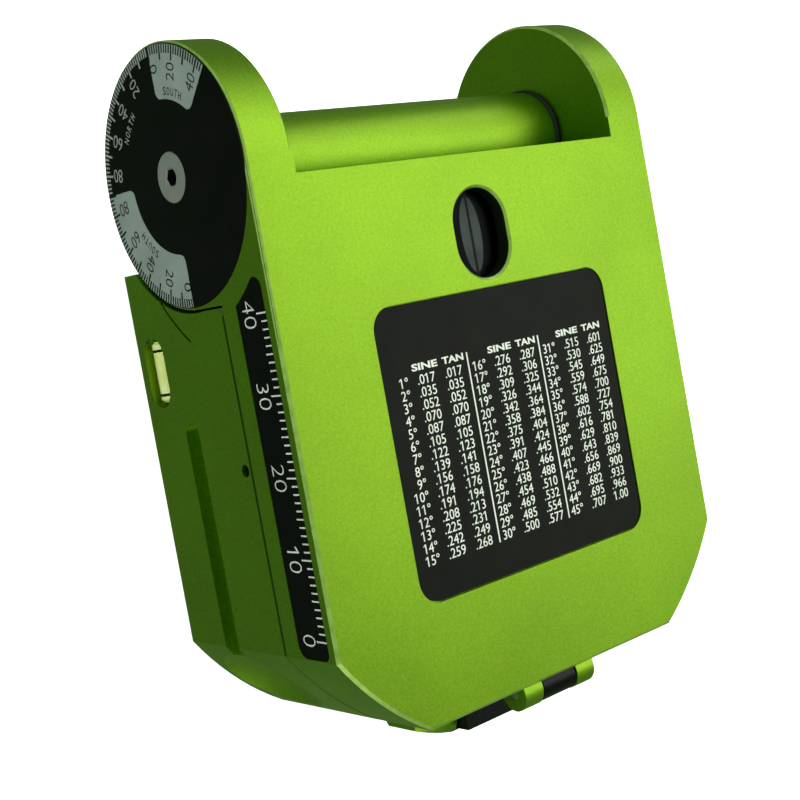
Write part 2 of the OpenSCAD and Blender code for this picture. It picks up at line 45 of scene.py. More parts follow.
# Places shared with the CAD model, in millimetres
SIDE_X = -35.1  # left face of the ear and of the side walls
HINGE = (38.2, 16.9)  # Y and Z of the hinge's axis
TOP_Z = 33.8  # top of the lid
BEVEL = 0.45  # a little more than the outer bevels' width
EAR_X, EAR_Y = 28.1, 20.0  # the ears lie outside the first and behind the second
SEAM_Z, SEAM_HALF = 22.7, 0.16  # the small bevel round the case's top, under the lid
ARC_X, ARC_Y = -34.95, 16.0  # floor of the shallow arc, which lies behind this Y
WINDOW_Y = 24.7  # middle of the lid's window
WINDOW_STRAIGHT, WINDOW_R = 1.4, 4.64  # half of its straight part, and its round ends
WINDOW_LOW = 31.0  # a little lower than its wall goes
VIAL = (-33.0, 4.35)  # X and Z of the side vial's axis
LEVEL = (0.0, -13.0)  # X and Y of the round level
MIRROR_FACE_Z, MIRROR_BACK_Z = 30.05, 31.55
TABLE_Y, TABLE_SUNK = -1.3, 0.18  # middle of the table, and its depth under the lid's top
SCALE_SUNK = 0.12  # the side scale's depth in the lid's wall


# Materials

SLANT = 0.707  # length of each part of a normal that leans by 45 degrees
RINGS_PER_M = 9000.0  # lathe marks


class Look:
    """One procedural material, built node by node."""

    def __init__(self, name, **sockets):
        self.mat = bpy.data.materials.new(name)
        self.mat.use_nodes = True
        self.tree = self.mat.node_tree
        self.shader = self.tree.nodes["Principled BSDF"]
        self.set(**sockets)
        self.place = self.node("ShaderNodeTexCoord").outputs["Object"]

    def feed(self, socket, value):
        """Link another node's output to a socket, or give the socket a value."""
        if isinstance(value, bpy.types.NodeSocket):
            self.tree.links.new(value, socket)
        else:
            socket.default_value = value

    def node(self, kind, inputs=None, **settings):
        made = self.tree.nodes.new(kind)
        for key, value in settings.items():
            setattr(made, key, value)
        for key, value in (inputs or {}).items():
            self.feed(made.inputs[key], value)
        return made

    def set(self, **sockets):
        """Feed sockets of the shader, with _ for each space in their names."""
        for key, value in sockets.items():
            self.feed(self.shader.inputs[key.replace("_", " ")], value)

    def noise(self, size_mm, detail, rough):
        """Noise whose features are about size_mm across, from 0 to 1."""
        inputs = {
            "Vector": self.place,
            "Scale": 1.0 / (size_mm * MM),
            "Detail": detail,
            "Roughness": rough,
        }
        return self.node("ShaderNodeTexNoise", inputs).outputs["Fac"]

    def cells(self, size_mm):
        """A random grey for each grain of about size_mm."""
        inputs = {"Vector": self.place, "Scale": 1.0 / (size_mm * MM)}
        grains = self.node("ShaderNodeTexVoronoi", inputs)
        return self.node("ShaderNodeSeparateColor", {"Color": grains.outputs["Color"]}).outputs[0]

    def spread(self, value, low, high, to_low=0.0, to_high=1.0):
        """The range from low to high stretched to another one and clamped."""
        inputs = {
            "Value": value,
            "From Min": low,
            "From Max": high,
            "To Min": to_low,
            "To Max": to_high,
        }
        return self.node("ShaderNodeMapRange", inputs, clamp=True).outputs[0]

    def math(self, kind, a, b=0.0):
        return self.node("ShaderNodeMath", {0: a, 1: b}, operation=kind).outputs[0]

    def product(self, *values):
        return functools.reduce(functools.partial(self.math, "MULTIPLY"), values)

    def near(self, value, target, width):
        """1 where value lies within width of target, else 0."""
        inputs = {0: value, 1: target, 2: width}
        return self.node("ShaderNodeMath", inputs, operation="COMPARE").outputs[0]

    def mix(self, share, a, b):
        """A blend of two colours, on the node's colour sockets."""
        return self.node("ShaderNodeMix", {0: share, 6: a, 7: b}, data_type="RGBA").outputs[2]

    def bump(self, height, strength, distance_mm):
        inputs = {"Height": height, "Strength": strength, "Distance": distance_mm * MM}
        self.set(Normal=self.node("ShaderNodeBump", inputs).outputs[0])

    def axes(self, vector):
        return self.node("ShaderNodeSeparateXYZ", {"Vector": vector}).outputs

    def true_normal(self):
        """The flat normal's three parts, in the object's own frame."""
        flat = self.node("ShaderNodeNewGeometry").outputs["True Normal"]
        own = self.node(
            "ShaderNodeVectorTransform",
            {"Vector": flat},
            vector_type="NORMAL",
            convert_from="WORLD",
            convert_to="OBJECT",
        )
        return self.axes(own.outputs[0])


def rgba(r, g, b):
    return (r, g, b, 1.0)


def grey(value):
    return rgba(value, value, value)


def blasted(look, base, deep, rough):
    """Colour and roughness of bead-blasted, dyed aluminium: fine grain and soft clouds."""
    grain = look.cells(0.16)
    fine = look.noise(0.35, 3.0, 0.6)
    cloud = look.noise(14.0, 2.0, 0.45)
    look.bump(look.math("ADD", grain, fine), 0.10, 0.03)
    share = look.math(
        "ADD", look.product(grain, 0.45), look.product(look.spread(fine, 0.3, 0.7), 0.55)
    )
    inputs = {
        "Color": look.mix(share, rgba(*deep), rgba(*base)),
        "Value": look.spread(cloud, 0.3, 0.7, 0.94, 1.05),
    }
    colour = look.node("ShaderNodeHueSaturation", inputs).outputs[0]
    return colour, look.spread(fine, 0.2, 0.8, rough - 0.05, rough + 0.06)


def anodised(name, base, deep, rough):
    """Plain anodised aluminium."""
    look = Look(name, Metallic=1.0)
    colour, roughness = blasted(look, base, deep, rough)
    look.set(Base_Color=colour, Roughness=roughness)
    return look.mat


def green_anodised(base, deep, edge, rough):
    """The case's and the lid's green, with a painted highlight on the bevels, and painted shade
    on the window's wall, the arc's floor and the seam.
    """
    look = Look("green_anodised", Metallic=1.0, Coat_Weight=0.45, Coat_Roughness=0.42)
    colour, roughness = blasted(look, base, deep, rough)
    x, y, z = look.axes(look.place)
    nx, _, nz = look.true_normal()
    lean_x, lean_z = look.math("ABSOLUTE", nx), look.math("ABSOLUTE", nz)

    # Painted highlight: a pale colour on the bevels of the top and the underside, and on those
    # round the ears, made patchy by noise, with the metal dulled there
    outer = look.math(
        "MAXIMUM",
        look.math("GREATER_THAN", z, (TOP_Z - BEVEL) * MM),
        look.math("LESS_THAN", z, BEVEL * MM),
    )
    ears = look.product(
        look.near(lean_x, SLANT, 0.02),
        look.math("GREATER_THAN", look.math("ABSOLUTE", x), EAR_X * MM),
        look.math("GREATER_THAN", y, EAR_Y * MM),
    )
    lit_bevels = look.math("MAXIMUM", look.product(look.near(lean_z, SLANT, 0.02), outer), ears)
    highlight_patches = look.spread(look.noise(1.6, 3.0, 0.6), 0.25, 0.6, 0.55, 1.0)
    bevel_highlight = look.product(lit_bevels, highlight_patches)
    colour = look.mix(bevel_highlight, colour, rgba(*edge))
    roughness = look.math("SUBTRACT", roughness, look.product(lit_bevels, 0.1))

    # Painted shade: near black, not metallic, on the wall of the window, a slot with round ends
    beside = look.math("ABSOLUTE", look.math("SUBTRACT", y, WINDOW_Y * MM))
    beside = look.math("MAXIMUM", look.math("SUBTRACT", beside, WINDOW_STRAIGHT * MM), 0.0)
    away = look.math("ADD", look.product(x, x), look.product(beside, beside))
    window_wall_shade = look.product(
        look.math("LESS_THAN", away, (WINDOW_R * MM) ** 2),
        look.math("GREATER_THAN", z, WINDOW_LOW * MM),
    )
    colour = look.mix(window_wall_shade, colour, rgba(0.004, 0.007, 0.003))

    # Painted shade: dark green on the floor of the shallow arc and on the small bevels of the
    # seam between case and lid
    arc_floor_shade = look.product(
        look.near(x, ARC_X * MM, 0.03 * MM), look.math("GREATER_THAN", y, ARC_Y * MM)
    )
    seam_shade = look.product(
        look.near(z, SEAM_Z * MM, SEAM_HALF * MM), look.near(lean_z, SLANT, 0.08)
    )
    dark = look.product(look.math("MAXIMUM", arc_floor_shade, seam_shade), 0.85)
    colour = look.mix(dark, colour, rgba(0.01, 0.05, 0.002))

    dull = look.math("MAXIMUM", window_wall_shade, look.product(bevel_highlight, 0.22))
    metal = look.math("SUBTRACT", 1.0, dull)
    look.set(Base_Color=colour, Roughness=roughness, Metallic=metal)
    return look.mat


def turned(name, base, deep, rough, axis="z", through=(0, 0), metallic=1.0, socket=None):
    """Lathe-turned metal: faint rings round an axis through the given point.

    socket says how far out and how wide the driving socket is, in millimetres; its inside is
    painted near black as shade.
    """
    look = Look(name, Metallic=metallic)
    x, y, z = look.axes(look.place)
    across = {"x": (y, z), "z": (x, y)}[axis]
    a, b = [look.math("SUBTRACT", part, c * MM) for part, c in zip(across, through)]
    radius = look.math("SQRT", look.math("ADD", look.product(a, a), look.product(b, b)))
    rings = look.node(
        "ShaderNodeTexNoise",
        {"W": look.product(radius, RINGS_PER_M), "Scale": 1.0, "Detail": 2.0},
        noise_dimensions="1D",
    ).outputs["Fac"]
    stain = look.noise(3.0, 3.0, 0.55)
    both = look.math("ADD", look.product(rings, 0.6), look.product(stain, 0.5))
    colour = look.mix(look.spread(both, 0.25, 0.85), rgba(*deep), rgba(*base))
    # Painted shade: near black inside the driving socket
    if socket:
        far, wide = socket
        socket_shade = look.product(
            look.math("LESS_THAN", look.math("ABSOLUTE", x), far * MM),
            look.math("LESS_THAN", radius, wide * MM),
        )
        colour = look.mix(socket_shade, colour, grey(0.006))
    roughness = look.spread(rings, 0.3, 0.7, rough - 0.04, rough + 0.08)
    look.set(Base_Color=colour, Roughness=roughness)
    look.bump(rings, 0.12, 0.01)
    return look.mat


def moulded(name, base, deep, rough, specular=0.5, grain_mm=0.25, metallic=0.0):
    """Painted, moulded or printed surface with a fine tooth."""
    look = Look(name, Metallic=metallic, Specular_IOR_Level=specular)
    tooth = look.noise(grain_mm, 3.0, 0.6)
    haze = look.noise(5.0, 3.0, 0.5)
    look.set(
        Base_Color=look.mix(look.spread(haze, 0.3, 0.7), rgba(*deep), rgba(*base)),
        Roughness=look.spread(tooth, 0.25, 0.75, rough - 0.05, rough + 0.07),
    )
    look.bump(tooth, 0.12, 0.02)
    return look.mat


def clear_glass():
    """The crystal: clear, with faint smears."""
    look = Look("clear_glass", IOR=1.5, Transmission_Weight=1.0)
    tint = (0.97, 0.99, 0.975)
    smear = look.noise(6.0, 3.0, 0.6)
    look.set(
        Base_Color=look.mix(
            look.spread(smear, 0.3, 0.7), rgba(*[c * 0.97 for c in tint]), rgba(*tint)
        ),
        Roughness=look.spread(smear, 0.45, 0.75, 0.03, 0.08),
    )
    return look.mat


def level_fluid():
    """Yellow green spirit in a polished vial."""
    look = Look(
        "level_fluid",
        Roughness=0.06,
        IOR=1.45,
        Transmission_Weight=0.15,
        Coat_Weight=1.0,
        Coat_Roughness=0.04,
    )
    share = look.spread(look.noise(2.5, 2.0, 0.5), 0.3, 0.7)
    look.set(Base_Color=look.mix(share, rgba(0.72, 0.80, 0.22), rgba(0.88, 0.93, 0.46)))
    return look.mat


def silvered_glass():
    """Mirror whose front and sides reflect. Its back is painted black."""
    look = Look("silvered_glass", Metallic=1.0)
    back = look.math("GREATER_THAN", look.true_normal()[2], 0.5)
    haze = look.spread(look.noise(9.0, 3.0, 0.6), 0.35, 0.7)
    shine = look.mix(haze, rgba(0.86, 0.88, 0.89), rgba(0.92, 0.93, 0.94))
    look.set(
        Base_Color=look.mix(back, shine, rgba(0.003, 0.0033, 0.0036)),
        Roughness=look.math("ADD", look.product(back, 0.30), look.product(haze, 0.02)),
    )
    return look.mat


def pale(name, rough, glow, haze, dark, light):
    """Matt white of the stage. It glows by itself, so that no light has to reach it."""
    look = Look(name, Roughness=rough, Emission_Strength=glow, Emission_Color=grey(1.0))
    look.set(Base_Color=look.mix(look.noise(*haze), grey(dark), grey(light)))
    return look.mat


# edge is the pale colour of the painted highlight on the bevels
green = green_anodised(
    base=(0.365, 0.62, 0.020), deep=(0.220, 0.435, 0.005), edge=(0.62, 0.88, 0.22), rough=0.47
)
black_metal = anodised("black_anodised", (0.030, 0.030, 0.033), (0.012, 0.012, 0.014), 0.36)
silver = anodised("silver_anodised", (0.72, 0.74, 0.72), (0.55, 0.57, 0.56), 0.32)

hinge_steel = turned(
    "screw_steel",
    (0.33, 0.35, 0.33),
    (0.21, 0.225, 0.215),
    0.42,
    axis="x",
    through=HINGE,
    metallic=0.5,
    socket=(34.96, 1.45),
)
BRASS, BRASS_DEEP = (0.80, 0.58, 0.24), (0.55, 0.37, 0.13)
plain_steel = turned("pin_steel", (0.62, 0.63, 0.64), (0.42, 0.43, 0.44), 0.27)
brass = turned("turned_brass", BRASS, BRASS_DEEP, 0.28)
bush_brass = turned("bush_brass", BRASS, BRASS_DEEP, 0.28, axis="x", through=HINGE)

rubber = moulded("seal_rubber", (0.025, 0.025, 0.026), (0.014, 0.014, 0.015), 0.72)
plastic = moulded("washer_black", (0.020, 0.020, 0.022), (0.010, 0.010, 0.012), 0.48)
dial_black = moulded(
    "dial_black", (0.0022, 0.0020, 0.0028), (0.0010, 0.0010, 0.0015), 0.42, specular=0.12
)
table_black = moulded(
    "table_black",
    (0.0065, 0.0068, 0.0062),
    (0.0035, 0.0037, 0.0034),
    0.50,
    specular=0.14,
    grain_mm=0.2,
)
bowl_black = moulded(
    "bowl_black", (0.010, 0.010, 0.011), (0.006, 0.006, 0.007), 0.55, specular=0.15
)
ink_white = moulded("ink_white", (0.90, 0.93, 0.87), (0.78, 0.81, 0.75), 0.55, specular=0.3)
ink_grey = moulded("ink_grey", (0.60, 0.64, 0.60), (0.45, 0.49, 0.46), 0.5, specular=0.4)
ink_dim = moulded("ink_dim", (0.30, 0.33, 0.31), (0.22, 0.245, 0.23), 0.5, specular=0.4)
ink_black = moulded(
    "ink_black", (0.006, 0.010, 0.012), (0.003, 0.005, 0.007), 0.5, specular=0.2
)
dial_silver = moulded(
    "dial_silver",
    (0.255, 0.305, 0.285),
    (0.205, 0.25, 0.232),
    0.45,
    specular=0.4,
    grain_mm=0.18,
    metallic=0.1,
)
circle_silver = moulded(
    "circle_silver", (0.58, 0.60, 0.57), (0.50, 0.52, 0.49), 0.5, specular=0.25, grain_mm=0.18
)
fluid = level_fluid()

WEAR = {
    "base_case": green,
    "lid_shell": green,
    "hinge_bushes": bush_brass,
    "friction_washers": plastic,
    "compass_bowl": bowl_black,
    "pivot_post": plain_steel,
    "crystal_gasket": rubber,
    "crystal": clear_glass(),
    "crystal_ring": silver,
    "ring_set_screw": black_metal,
    "level_cup": brass,
    "level_glass": fluid,
    "side_vial": fluid,
    "arm_hinge_pin": plain_steel,
    "pinion_bush": brass,
    "azimuth_ring": circle_silver,
    "azimuth_pinion": brass,
    "needle": plain_steel,
    "needle_hub": brass,
    "lock_button": plain_steel,
    "sight_arm": black_metal,
    "arm_peep_pin": plain_steel,
    "arm_peep": black_metal,
    "hinge_axle": hinge_steel,
    "hinge_screws": hinge_steel,
    "inclinometer_dial": dial_black,
    "side_scale": dial_black,
    "table_plate": table_black,
    "lid_mirror": silvered_glass(),
    "mirror_bezel": black_metal,
    "mirror_screws": plain_steel,
    "lid_peep_pin": plain_steel,
    "lid_peep": black_metal,
}


def dress(obj, material):
    obj.data.materials.clear()
    obj.data.materials.append(material)


for name, material in WEAR.items():
    dress(nodes[name], material)


# Tools for printed marks

# Outline of the flag on a figure 1, from the stem's top left corner, for a font size of 1
FLAG = ((0.0, 0.0), (-0.17, -0.12), (-0.17, -0.20), (0.0, -0.09))
FLAG_OVERLAP = 0.01


def add_mesh(name, points, faces):
    """A new object in the scene. points are in metres."""
    mesh = bpy.data.meshes.new(name)
    mesh.from_pydata(points, [], faces)
    mesh.update()
    made = bpy.data.objects.new(name, mesh)
    bpy.context.scene.collection.objects.link(made)
    return made


def add_marks(name, body, material, points, faces):
    """One visible piece that rides on a body. points are in millimetres."""
    piece = add_mesh(name, (points * MM).tolist(), faces)
    dress(piece, material)
    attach(piece, body)


def text_mesh(body, bold):
    """Points and faces of a word of font size 1, one unit thick."""
    curve = bpy.data.curves.new("word", "FONT")
    curve.body = body
    curve.size = 1.0
    curve.extrude = 0.5
    curve.offset = bold
    curve.resolution_u = 3
    holder = bpy.data.objects.new("word", curve)
    bpy.context.scene.collection.objects.link(holder)
    bpy.context.view_layer.update()
    solid = bpy.data.meshes.new_from_object(
        holder.evaluated_get(bpy.context.evaluated_depsgraph_get())
    )
    points = np.array([tuple(v.co) for v in solid.vertices])
    faces = [tuple(p.vertices) for p in solid.polygons]
    bpy.data.objects.remove(holder)
    bpy.data.curves.remove(curve)
    bpy.data.meshes.remove(solid)
    return points, faces


def plate_faces(n):
    """Faces of a plate whose outline has n points, the low ones first."""
    sides = [(i, (i + 1) % n, n + (i + 1) % n, n + i) for i in range(n)]
    return [tuple(range(n - 1, -1, -1)), tuple(range(n, 2 * n))] + sides


@functools.cache
def word(body, bold=0.0):
    """A word's points and faces. Each figure 1 gets the flag that the font lacks."""
    points, faces = text_mesh(body, bold)
    for k, letter in enumerate(body):
        if letter == "1":
            stem = np.ptp(text_mesh("1", bold)[0][:, 0])
            so_far = text_mesh(body[: k + 1], bold)[0]
            left = so_far[:, 0].max() - stem + FLAG_OVERLAP
            top = so_far[:, 1].max()
            flag = [(left + u, top + v, z) for z in (-0.5, 0.5) for u, v in FLAG]
            start = len(points)
            points = np.concatenate([points, np.array(flag)])
            faces = faces + [tuple(i + start for i in f) for f in plate_faces(len(FLAG))]
    return points, faces


def extent(body):
    return float(np.ptp(word(body)[0][:, 0]))


CAP = float(np.ptp(word("H")[0][:, 1]))
DIGIT_STEP = extent("00") - extent("0")


class Print:
    """Marks of one colour on one flat face, raised by a hair's breadth.

    origin, right and up place the face, in millimetres. The marks are sunk a little
    into the face, so that nothing shows between them.
    """

    def __init__(self, origin, right=X, up=Y, height=0.025, sink=0.02):
        self.origin = np.array(origin, float)
        self.right = np.array(right, float)
        self.up = np.array(up, float)
        self.out = np.cross(self.right, self.up)
        self.height = height
        self.sink = sink
        self.points = []
        self.faces = []

    def put(self, flat, faces):
        """flat holds u and v in millimetres and a third value, 0 low and 1 high."""
        start = sum(len(p) for p in self.points)
        depth = -self.sink + flat[:, 2:3] * (self.height + self.sink)
        placed = (
            self.origin
            + flat[:, 0:1] * self.right
            + flat[:, 1:2] * self.up
            + depth * self.out
        )
        self.points.append(placed)
        self.faces.extend(tuple(i + start for i in f) for f in faces)

    def outline(self, corners):
        """A plate with this outline, counter-clockwise seen from outside."""
        flat = np.array([(u, v, level) for level in (0.0, 1.0) for u, v in corners])
        self.put(flat, plate_faces(len(corners)))

    def band(self, inner, outer):
        """A strip between two rows of points."""
        for i in range(len(inner) - 1):
            self.outline([inner[i], outer[i], outer[i + 1], inner[i + 1]])

    def bar(self, u, v, length, width, turn=UPRIGHT):
        """A thin mark from (u, v) along the direction turn, in radians."""
        d = np.array([math.cos(turn), math.sin(turn)])
        s = np.array([-d[1], d[0]]) * width / 2
        a = np.array([u, v])
        b = a + d * length
        self.outline([tuple(a - s), tuple(b - s), tuple(b + s), tuple(a + s)])

    def spoke(self, radius, angle, length, width):
        """A thin mark from the given radius toward the middle."""
        self.bar(*at(radius, angle), length, width, angle + math.pi)

    def write(self, body, u, v, cap, width=None, turn=0.0, align="centre", bold=0.0, pace=1.0):
        """A word with capitals cap high.

        width is the whole word's width; without it, pace stretches the letters. u is
        the word's middle, its left end or where its first letter's pen starts.
        """
        points, faces = word(body, bold)
        size = cap / CAP
        low, high = points[:, 0].min(), points[:, 0].max()
        stretch = width / ((high - low) * size) if width else pace
        start = {"pen": 0.0, "left": low, "centre": (low + high) / 2}[align]
        x = (points[:, 0] - start) * size * stretch
        y = points[:, 1] * size - cap / 2
        c, s = math.cos(turn), math.sin(turn)
        flat = np.column_stack([u + c * x - s * y, v + s * x + c * y, points[:, 2] + 0.5])
        self.put(flat, faces)

    def make(self, name, body, material, slot):
        add_marks(name, body, material, np.concatenate(self.points), self.faces)


def at(radius, angle, centre=(0.0, 0.0)):
    """Point on a circle. The angle is in radians."""
    return (centre[0] + radius * math.cos(angle), centre[1] + radius * math.sin(angle))


def ring_points(radius, centre=(0.0, 0.0), count=97):
    return [at(radius, a, centre) for a in np.linspace(0, 2 * math.pi, count)]


def graded(number, tenth, fifth, other):
    """One of three values, by whether the number ends in 0, in 5 or otherwise."""
    return tenth if number % 10 == 0 else fifth if number % 5 == 0 else other


# Marks on the lid


def lid_table():
    """Sines and tangents of 1 to 45 degrees, in three groups of rows."""
    table = Print((0.0, TABLE_Y, TOP_Z - TABLE_SUNK))
    rows, row_top, row_step = 15, 8.97, 1.604
    digit, digits_wide = 1.24, 2.9  # height of a digit, width of a point and three digits
    spread = digits_wide * CAP / (digit * extent(".000"))
    step = DIGIT_STEP * digit / CAP * spread
    head_v, head_cap = 10.60, 0.84
    sign_in, sign_out = 0.14, 0.26  # the degree sign's two radii
    number_gap, sign_left, sign_up = 0.75, 0.4, 0.4
    # Degrees before the group, then the places of its signs, sines, tangents and heads
    groups = (
        (0, -16.75, -15.4, -10.7, -15.95),
        (15, -3.30, -1.97, 2.72, -2.75),
        (30, 9.80, 11.40, 15.98, 10.20),
    )
    for before, sign_u, sine_u, tan_u, head_u in groups:
        for head, shift, width in (("SINE", 0.0, 4.3), ("TAN", 5.15, 3.7)):
            table.write(head, head_u + shift, head_v, head_cap, width, align="left", bold=0.03)
        for row in range(rows):
            degrees = before + row + 1
            v = row_top - row * row_step
            shown = "%d" % degrees
            pen = sign_u - number_gap - step * len(shown)
            table.write(shown, pen, v, digit, align="pen", pace=spread)
            sign = (sign_u - sign_left, v + sign_up)
            table.band(ring_points(sign_in, sign, 13), ring_points(sign_out, sign, 13))
            for u, function in ((sine_u, math.sin), (tan_u, math.tan)):
                value = function(math.radians(degrees))
                shown = "1.00" if value > 0.9995 else ("%.3f" % value)[1:]
                table.write(shown, u, v, digit, align="pen", pace=spread)
    for u, top, low in ((-6.45, 11.0, -14.22), (6.72, 11.05, -14.25)):
        table.bar(u, low, top - low, 0.22)
    table.make("table_figures", "lid", ink_white, "table_print")


def side_scale():
    """Ruler on the lid's left wall, one tick for each millimetre."""
    scale = Print((SIDE_X + SCALE_SUNK, 0, 0), (0, -1, 0), Z)
    zero_y, longest, tick_top, tick_width = -20.4, 40, 32.05, 0.20
    digit_z, digit, pair_wide = 28.5, 2.62, 3.45
    for tick in range(longest + 1):
        low = graded(tick, 30.05, 30.6, 30.85)
        scale.bar(-(zero_y + tick), low, tick_top - low, tick_width)
    pace = pair_wide * CAP / (digit * extent("20"))
    for number in range(0, longest + 1, 10):
        scale.write("%d" % number, -(zero_y + number), digit_z, digit, pace=pace, bold=-0.02)
    scale.make("scale_figures", "lid", ink_grey, "dial_print")


# Inclinometer dial. Angle 0 points at the underside, and 90 away from the lid's front

DIAL_RIM, SECTOR_IN, SECTOR_CORNER = 16.5, 9.75, 1.1
SECTORS = ((-89.0, 0.3), (90.0, 135.5))
TICK_RIM = 16.48
SECTOR_HEIGHT, INK_HEIGHT = 0.02, 0.045


def polar(radius, degrees):
    """Point on the dial, as it is seen from the left."""
    a = math.radians(degrees)
    return (-(HINGE[0] + radius * math.sin(a)), HINGE[1] - radius * math.cos(a))


def heading(start, end):
    return math.atan2(end[1] - start[1], end[0] - start[0])


def dial_print(height):
    return Print((SIDE_X, 0, 0), (0, -1, 0), Z, height)


def sector_outline(start, end):
    """Ring sector with rounded inner corners."""
    turn = math.degrees(SECTOR_CORNER / (SECTOR_IN + SECTOR_CORNER))
    rim = [polar(DIAL_RIM, a) for a in np.linspace(start, end, 60)]
    inner = [polar(SECTOR_IN, a) for a in np.linspace(end - turn, start + turn, 40)][1:-1]
    corners = []
    for edge, way in ((end, -1), (start, 1)):
        corner = []
        for k in np.linspace(0, math.pi / 2, 7):
            radius = SECTOR_IN + SECTOR_CORNER - SECTOR_CORNER * math.sin(k)
            corner.append(polar(radius, edge + way * turn * (1 - math.cos(k))))
        corners.append(corner)
    return rim + corners[0] + inner + corners[1][::-1]


def dial_number(ink, body, degrees, radius=13.2, cap=1.75, width=2.2):
    """A number that reads outward along its radius."""
    here = polar(radius, degrees)
    turn = heading(here, polar(radius + 1, degrees))
    ink.write(body, *here, cap, width, turn, bold=-0.01)


def dial_word(ink, body, middle, radius, step):
    """A word set on an arc with its letters' tops outward."""
    cap, width = 1.0, 0.62
    for k, letter in enumerate(body):
        degrees = middle + (k - (len(body) - 1) / 2) * step
        here = polar(radius, degrees)
        ink.write(letter, *here, cap, width, heading(here, polar(radius, degrees + 0.5)))


def dial_marks():
    """Pale sectors with dark figures, and light figures on the black between them."""
    plates = dial_print(SECTOR_HEIGHT)
    for start, end in SECTORS:
        plates.outline(sector_outline(start, end)[::-1])
    plates.make("dial_sectors", "lid", dial_silver, "dial_print")

    light, dark = dial_print(INK_HEIGHT), dial_print(INK_HEIGHT)
    for degrees in range(-88, 136, 2):
        ink = light if 0 < degrees < 90 else dark
        length, width = (1.9, 0.29) if degrees % 10 == 0 else (1.08, 0.25)
        outer = polar(TICK_RIM, degrees)
        turn = heading(outer, polar(TICK_RIM - length, degrees))
        ink.bar(*outer, length, width, turn)
    on_pale = ((-68.6, 20), (-48.5, 40), (-28.9, 60), (-8.8, 80), (109.0, 20), (129.0, 40))
    on_black = ((10.4, 80), (29.6, 60), (49.1, 40), (68.8, 20))
    for ink, numbers in ((dark, on_pale), (light, on_black)):
        for degrees, number in numbers:
            dial_number(ink, str(number), degrees)
    for degrees, radius in ((-86.6, 13.9), (92.6, 13.6)):
        dial_number(dark, "0", degrees, radius, 1.6, 1.15)
    dial_word(dark, "SOUTH", 111.4, 10.75, 4.75)
    dial_word(dark, "SOUTH", -43.2, 11.15, 4.7)
    dial_word(light, "NORTH", 44.6, 11.05, 4.9)
    light.make("dial_light_marks", "lid", ink_dim, "dial_print")
    dark.make("dial_dark_marks", "lid", ink_black, "dial_print")


# Marks inside the case

FLAT_HEIGHT = 0.03
CIRCLE_TOP, CIRCLE_RIM, CIRCLE_NUMBERS = 17.8, 25.7, 22.75
BOWL_FLOOR, ROSE_RIM = 3.7, 23.4
NEEDLE_TOP, LEVEL_TOP = 17.1, 10.2


def flat_print(z, place=(0.0, 0.0)):
    return Print((*place, z), height=FLAT_HEIGHT)


def circle_marks():
    """Graduated circle: degrees clockwise from north, each ten numbered."""
    circle = flat_print(CIRCLE_TOP)
    for degree in range(360):
        length = graded(degree, 1.7, 1.3, 0.9)
        circle.spoke(CIRCLE_RIM, math.radians(90 - degree), length, 0.12)
    for degree in range(0, 360, 10):
        a = math.radians(90 - degree)
        turn = a - math.pi / 2
        circle.write("%d" % degree, *at(CIRCLE_NUMBERS, a), 1.25, turn=turn, pace=0.85)
    circle.make("circle_marks", "azimuth_wheel", ink_black, "dial_print")


def bowl_marks():
    """Points of the compass on the bowl's floor, with two rings and four small arms."""
    rose = flat_print(BOWL_FLOOR)
    # East and west are swapped, because the needle is read against the bowl
    letters = (("N", 0.0, 20.2), ("S", 0.0, -21.7), ("E", -20.2, 0.0), ("W", 20.2, 0.0))
    for letter, u, v in letters:
        rose.write(letter, u, v, 2.4, bold=0.02)
    for inner, outer in ((16.9, 17.15), (ROSE_RIM, 23.8)):
        rose.band(ring_points(inner), ring_points(outer))
    for k in range(72):
        rose.spoke(ROSE_RIM, math.radians(5 * k), 1.4 if k % 2 == 0 else 0.8, 0.16)
    tip, shoulder, foot, half = 15.5, 4.2, 3.4, 0.22
    for degrees in (45, 135, 225, 315):
        a = math.radians(degrees)
        rose.outline([at(tip, a), at(shoulder, a + half), at(foot, a), at(shoulder, a - half)])
    rose.make("bowl_marks", "case", ink_white, "dial_print")


def needle_paint():
    """White paint on the needle's north end."""
    paint = flat_print(NEEDLE_TOP)
    paint.outline([(-1.3, 5.0), (1.3, 5.0), (0.28, 20.2), (-0.28, 20.2)])
    paint.make("needle_paint", "compass_needle", ink_white, "dial_print")


def level_ring():
    """Ring over the round level."""
    mark = flat_print(LEVEL_TOP, LEVEL)
    mark.band(ring_points(2.2), ring_points(2.5))
    mark.make("level_ring", "case", ink_black, "black_plastic")


def mirror_marks():
    """Lighter grey oval behind the window, painted light where light falls on the mirror's black
    back through it, and the sighting lines on the mirror's two faces.
    """
    # Painted light: a lighter grey oval on the mirror's black back, under the window
    lit_spot = Print((0, WINDOW_Y, MIRROR_BACK_Z), height=0.015, sink=0.01)
    half_wide, half_long = 1.8, 5.1
    around = np.linspace(0, 2 * math.pi, 49)[:-1]
    lit_spot.outline([(half_wide * math.cos(a), half_long * math.sin(a)) for a in around])
    lit_spot_look = moulded(
        "painted_light_spot", (0.070, 0.086, 0.082), (0.036, 0.046, 0.043), 0.55, specular=0.10
    )
    lit_spot.make("mirror_lit_spot", "lid", lit_spot_look, "silvered_glass")
    line = Print((0, 0, MIRROR_BACK_Z), height=0.03, sink=0.01)
    reach = 5.9  # from the window's middle to the line's ends
    line.bar(0.0, WINDOW_Y - reach, 2 * reach, 0.45)
    line.make("mirror_back_line", "lid", dial_black, "black_anodised")
    face = Print((0, 0, MIRROR_FACE_Z), (-1, 0, 0), Y, height=0.02, sink=0.01)
    reach = 29.0
    face.bar(0.0, -reach, 2 * reach, 0.3)
    face.make("mirror_face_line", "lid", ink_black, "black_anodised")


